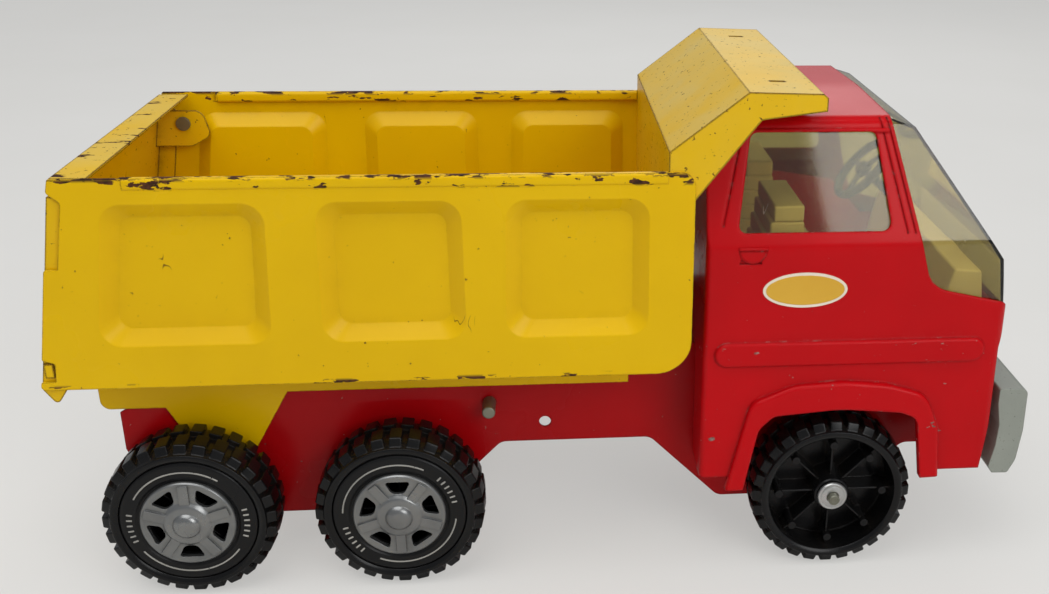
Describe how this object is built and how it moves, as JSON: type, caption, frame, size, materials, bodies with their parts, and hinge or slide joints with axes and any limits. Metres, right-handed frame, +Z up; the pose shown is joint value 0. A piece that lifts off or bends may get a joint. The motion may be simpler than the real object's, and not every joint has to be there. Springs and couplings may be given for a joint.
{
  "type": "toy dump truck",
  "caption": "Pressed-steel toy dump truck with a tilting bed, a top-hung swinging tailgate, free-rolling tandem rear wheels and a glazed cab under a guard.",
  "frame": {"origin": "on the ground, at the middle of the overall length and width", "axes": "+X towards the front of the truck, +Y to its left, +Z up"},
  "size_m": [0.3951, 0.1514, 0.2105],
  "materials": {
    "red_paint": "gloss enamel, worn at edges",
    "yellow_paint": "gloss enamel, chipped at edges",
    "steel_rod": "dull plated steel",
    "zinc": "cast zinc, dull",
    "amber_glass": "clear amber moulding",
    "cream_plastic": "satin",
    "dark_plastic": "satin",
    "grey_plastic": "satin",
    "lamp_plastic": "gloss",
    "bumper_grey": "speckled, dull",
    "tyre_black": "semi-matt moulded",
    "disc_black": "semi-gloss moulded",
    "hub_silver": "satin vacuum plated"
  },
  "bodies": {
    "chassis": {"chassis_frame": "red_paint", "cross_rod": "steel_rod", "bed_hinge_pin": "steel_rod", "cab_shell": "red_paint", "window_unit": "amber_glass", "cab_interior": "cream_plastic", "steering_wheel": "dark_plastic", "grille": "grey_plastic", "headlamps": "lamp_plastic", "bumper": "bumper_grey", "bumper_screws": "steel_rod", "rear_axle": "steel_rod", "middle_axle": "steel_rod", "front_axle": "steel_rod", "wheel_retainers": "zinc", "hub_spacers": "zinc"},
    "bed": {"bed_tub": "yellow_paint", "bed_headboard": "yellow_paint", "bed_channel": "yellow_paint", "tailgate_pins": "steel_rod"},
    "tailgate": {"tailgate": "yellow_paint"},
    "wheel_rear_right": {"tyre_rear_right": "tyre_black", "wheel_disc_rear_right": "disc_black", "hub_cap_rear_right": "hub_silver"},
    "wheel_rear_left": {"tyre_rear_left": "tyre_black", "wheel_disc_rear_left": "disc_black", "hub_cap_rear_left": "hub_silver"},
    "wheel_middle_right": {"tyre_middle_right": "tyre_black", "wheel_disc_middle_right": "disc_black", "hub_cap_middle_right": "hub_silver"},
    "wheel_middle_left": {"tyre_middle_left": "tyre_black", "wheel_disc_middle_left": "disc_black", "hub_cap_middle_left": "hub_silver"},
    "wheel_front_right": {"tyre_front_right": "tyre_black"},
    "wheel_front_left": {"tyre_front_left": "tyre_black", "wheel_disc_front_left": "disc_black", "hub_cap_front_left": "hub_silver"}
  },
  "joints": [
    {"name": "bed_tilt", "type": "hinge", "parent": "chassis", "child": "bed", "pos_m": [-0.14, 0, 0.048], "axis": [0, -1, 0], "range_deg": [0, 50]},
    {"name": "tailgate_swing", "type": "hinge", "parent": "bed", "child": "tailgate", "pos_m": [-0.172, 0, 0.167], "axis": [0, 1, 0], "range_deg": [0, 60]},
    {"name": "wheel_rear_right_spin", "type": "hinge", "parent": "chassis", "child": "wheel_rear_right", "pos_m": [-0.1518, -0.059, 0.035], "axis": [0, 1, 0], "continuous": true},
    {"name": "wheel_rear_left_spin", "type": "hinge", "parent": "chassis", "child": "wheel_rear_left", "pos_m": [-0.1518, 0.059, 0.035], "axis": [0, 1, 0], "continuous": true},
    {"name": "wheel_middle_right_spin", "type": "hinge", "parent": "chassis", "child": "wheel_middle_right", "pos_m": [-0.0675, -0.059, 0.035], "axis": [0, 1, 0], "continuous": true},
    {"name": "wheel_middle_left_spin", "type": "hinge", "parent": "chassis", "child": "wheel_middle_left", "pos_m": [-0.0675, 0.059, 0.035], "axis": [0, 1, 0], "continuous": true},
    {"name": "wheel_front_right_spin", "type": "hinge", "parent": "chassis", "child": "wheel_front_right", "pos_m": [0.115, -0.059, 0.035], "axis": [0, 1, 0], "continuous": true},
    {"name": "wheel_front_left_spin", "type": "hinge", "parent": "chassis", "child": "wheel_front_left", "pos_m": [0.115, 0.059, 0.035], "axis": [0, 1, 0], "continuous": true}
  ]
}
